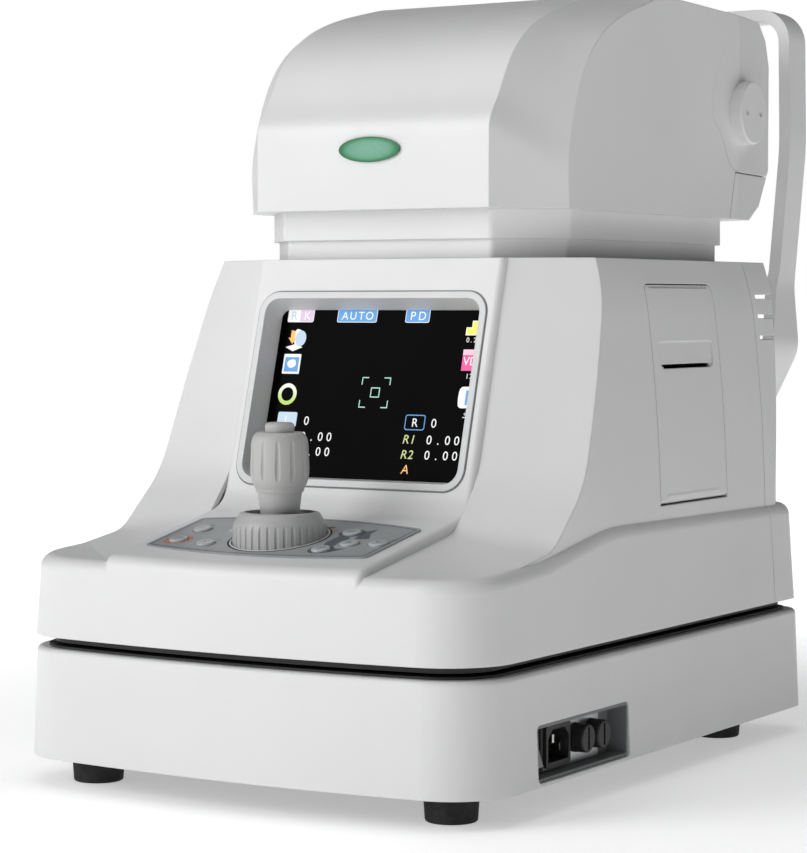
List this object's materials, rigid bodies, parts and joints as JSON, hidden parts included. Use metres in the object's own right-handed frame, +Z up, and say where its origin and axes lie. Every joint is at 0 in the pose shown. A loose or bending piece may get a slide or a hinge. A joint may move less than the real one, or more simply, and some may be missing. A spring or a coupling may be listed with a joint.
{
  "type": "auto refractor keratometer",
  "caption": "Table-top auto refractor and keratometer with a lifting head on a sliding body, joystick, tilted screen, side printer and face frame.",
  "frame": {"origin": "on the table under the middle of the instrument's bounding box", "axes": "+X to the operator's right, +Y from the operator to the patient, +Z up"},
  "size_m": [0.276, 0.49, 0.4185],
  "materials": {
    "white_shell": "fine moulded grain, satin",
    "black_trim": "matt black",
    "dark_metal": "black zinc",
    "steel": "ground steel",
    "silver_plate": "satin anodised",
    "grey_tray": "fine grain",
    "foot_rubber": "matt",
    "rocker_grey": "satin",
    "contact": "bright",
    "key_panel": "printed film",
    "key_cap": "satin",
    "bezel": "satin silver-grey",
    "screen": "glossy display",
    "joystick_grey": "satin grey",
    "grip_grey": "warm grey, fine grain",
    "cast_metal": "as cast",
    "green_badge": "domed lacquer",
    "lens_glass": "coated",
    "mire": "translucent white",
    "pad_silicone": "soft silicone",
    "paper": "thermal paper"
  },
  "bodies": {
    "base": {"base_cover": "white_shell", "base_plate": "dark_metal", "feet": "foot_rubber", "foot_screws": "steel", "glide_plate": "black_trim", "toothed_rails": "steel", "power_tray": "grey_tray", "power_plate": "silver_plate", "switch_frame": "black_trim", "inlet_block": "black_trim", "inlet_pins": "contact", "power_supply": "silver_plate", "headrest_post": "white_shell", "face_frame": "white_shell", "forehead_pad": "pad_silicone"},
    "rocker": {"power_rocker": "rocker_grey"},
    "front_fuse_cap": {"fuse_cap_front": "black_trim"},
    "rear_fuse_cap": {"fuse_cap_rear": "black_trim"},
    "chin_drive": {"chin_screw": "steel"},
    "chin_rest": {"chin_stem": "steel", "chin_cup": "white_shell", "chin_paper_pins": "steel"},
    "carriage": {"carriage_frame": "steel"},
    "axle": {"pinion_shaft": "steel"},
    "body": {"body_shell": "white_shell", "rear_cover": "white_shell", "body_chassis": "black_trim", "printer_cradle": "grey_tray", "key_panel": "key_panel", "screen_bezel": "bezel", "display": "screen", "lift_frame": "cast_metal", "lift_motor": "dark_metal", "lower_collar": "white_shell"},
    "door": {"printer_door": "white_shell"},
    "paper": {"paper_roll": "paper"},
    "platen": {"platen_roller": "foot_rubber"},
    "gimbal": {"joystick_gimbal": "cast_metal"},
    "joystick": {"joystick_stem": "joystick_grey", "joystick_grip": "grip_grey"},
    "button": {"measure_button": "grip_grey"},
    "ring": {"height_ring": "joystick_grey"},
    "lift_drive": {"lift_screw": "steel"},
    "collar": {"upper_collar": "white_shell"},
    "head": {"head_shell": "white_shell", "nose_lower_cover": "white_shell", "badge": "green_badge", "side_caps": "white_shell", "head_chassis": "cast_metal", "measuring_tube": "dark_metal", "objective": "lens_glass", "window_ring": "black_trim", "mire_ring": "mire"},
    "mode_key": {"mode_key": "key_cap"},
    "print_key": {"print_key": "key_cap"},
    "clear_key": {"clear_key": "key_cap"},
    "menu_key": {"menu_key": "key_cap"},
    "chin_up_key": {"chin_up_key": "key_cap"},
    "chin_down_key": {"chin_down_key": "key_cap"},
    "target_key": {"target_key": "key_cap"}
  },
  "joints": [
    {"name": "power_rocker_tilt", "type": "hinge", "parent": "base", "child": "rocker", "pos_m": [0.1265, -0.1724, 0.0305], "axis": [0, 1, 0], "range_deg": [0, 19.8]},
    {"name": "front_fuse_turn", "type": "hinge", "parent": "base", "child": "front_fuse_cap", "pos_m": [0.1275, -0.1275, 0.0305], "axis": [1, 0, 0], "range_deg": [0, 60]},
    {"name": "rear_fuse_turn", "type": "hinge", "parent": "base", "child": "rear_fuse_cap", "pos_m": [0.1275, -0.111, 0.0305], "axis": [1, 0, 0], "range_deg": [0, 60]},
    {"name": "chin_lift", "type": "slide", "parent": "base", "child": "chin_rest", "axis": [0, 0, 1], "range_m": [-0.03, 0.03]},
    {"name": "chin_screw_turn", "type": "hinge", "parent": "base", "child": "chin_drive", "pos_m": [0, 0.181, 0.06], "axis": [0, 0, 1], "range_deg": [-2720, 2720]},
    {"name": "carriage_slide", "type": "slide", "parent": "base", "child": "carriage", "axis": [0, 1, 0], "range_m": [-0.022, 0.018]},
    {"name": "axle_turn", "type": "hinge", "parent": "carriage", "child": "axle", "pos_m": [0, -0.015, 0.056], "axis": [1, 0, 0], "range_deg": [-140, 170]},
    {"name": "body_slide", "type": "slide", "parent": "carriage", "child": "body", "axis": [1, 0, 0], "range_m": [-0.043, 0.043]},
    {"name": "head_lift", "type": "slide", "parent": "body", "child": "head", "axis": [0, 0, 1], "range_m": [-0.015, 0.015]},
    {"name": "collar_slide", "type": "slide", "parent": "body", "child": "collar", "axis": [0, 0, 1], "range_m": [-0.0076, 0.0076]},
    {"name": "lift_screw_turn", "type": "hinge", "parent": "body", "child": "lift_drive", "pos_m": [0.032, 0.01, 0.165], "axis": [0, 0, 1], "range_deg": [-1360, 1360]},
    {"name": "height_ring_turn", "type": "hinge", "parent": "body", "child": "ring", "pos_m": [0, -0.195, 0.125], "axis": [0, 0, 1], "range_deg": [-455, 455]},
    {"name": "printer_door_swing", "type": "hinge", "parent": "body", "child": "door", "pos_m": [0.12557, 0.00475, 0.1418], "axis": [0, 1, 0], "range_deg": [0, 95]},
    {"name": "paper_roll_turn", "type": "hinge", "parent": "body", "child": "paper", "pos_m": [0.09297, 0.00475, 0.172], "axis": [0, 1, 0], "continuous": true},
    {"name": "platen_turn", "type": "hinge", "parent": "body", "child": "platen", "pos_m": [0.10797, 0.00475, 0.209], "axis": [0, 1, 0], "continuous": true},
    {"name": "joystick_fore_tilt", "type": "hinge", "parent": "body", "child": "gimbal", "pos_m": [0, -0.195, 0.112], "axis": [1, 0, 0], "range_deg": [-9, 9]},
    {"name": "joystick_side_tilt", "type": "hinge", "parent": "gimbal", "child": "joystick", "pos_m": [0, -0.195, 0.112], "axis": [0, 1, 0], "range_deg": [-9, 9]},
    {"name": "measure_button_press", "type": "slide", "parent": "joystick", "child": "button", "axis": [0, 0, -1], "range_m": [0, 0.0015], "stiffness_N_per_m": 900, "springref_m": -0.0006},
    {"name": "mode_key_press", "type": "slide", "parent": "body", "child": "mode_key", "axis": [0, 0.1925, -0.9813], "range_m": [0, 0.0006], "stiffness_N_per_m": 900, "springref_m": -0.0006},
    {"name": "print_key_press", "type": "slide", "parent": "body", "child": "print_key", "axis": [0, 0.1925, -0.9813], "range_m": [0, 0.0006], "stiffness_N_per_m": 900, "springref_m": -0.0006},
    {"name": "clear_key_press", "type": "slide", "parent": "body", "child": "clear_key", "axis": [0, 0.1925, -0.9813], "range_m": [0, 0.0006], "stiffness_N_per_m": 900, "springref_m": -0.0006},
    {"name": "menu_key_press", "type": "slide", "parent": "body", "child": "menu_key", "axis": [0, 0.1925, -0.9813], "range_m": [0, 0.0006], "stiffness_N_per_m": 900, "springref_m": -0.0006},
    {"name": "chin_up_key_press", "type": "slide", "parent": "body", "child": "chin_up_key", "axis": [0, 0.1925, -0.9813], "range_m": [0, 0.0006], "stiffness_N_per_m": 900, "springref_m": -0.0006},
    {"name": "chin_down_key_press", "type": "slide", "parent": "body", "child": "chin_down_key", "axis": [0, 0.1925, -0.9813], "range_m": [0, 0.0006], "stiffness_N_per_m": 900, "springref_m": -0.0006},
    {"name": "target_key_press", "type": "slide", "parent": "body", "child": "target_key", "axis": [0, 0.1925, -0.9813], "range_m": [0, 0.0006], "stiffness_N_per_m": 900, "springref_m": -0.0006}
  ],
  "couplings": [
    {"joint": "chin_screw_turn", "follows": "chin_lift", "rad_per_m": 1570.8},
    {"joint": "axle_turn", "follows": "carriage_slide", "rad_per_m": -133.33},
    {"joint": "collar_slide", "follows": "head_lift", "ratio": 0.5},
    {"joint": "lift_screw_turn", "follows": "head_lift", "rad_per_m": 1570.8},
    {"joint": "height_ring_turn", "follows": "head_lift", "rad_per_m": 523.6},
    {"joint": "platen_turn", "follows": "paper_roll_turn", "ratio": -4.2}
  ]
}
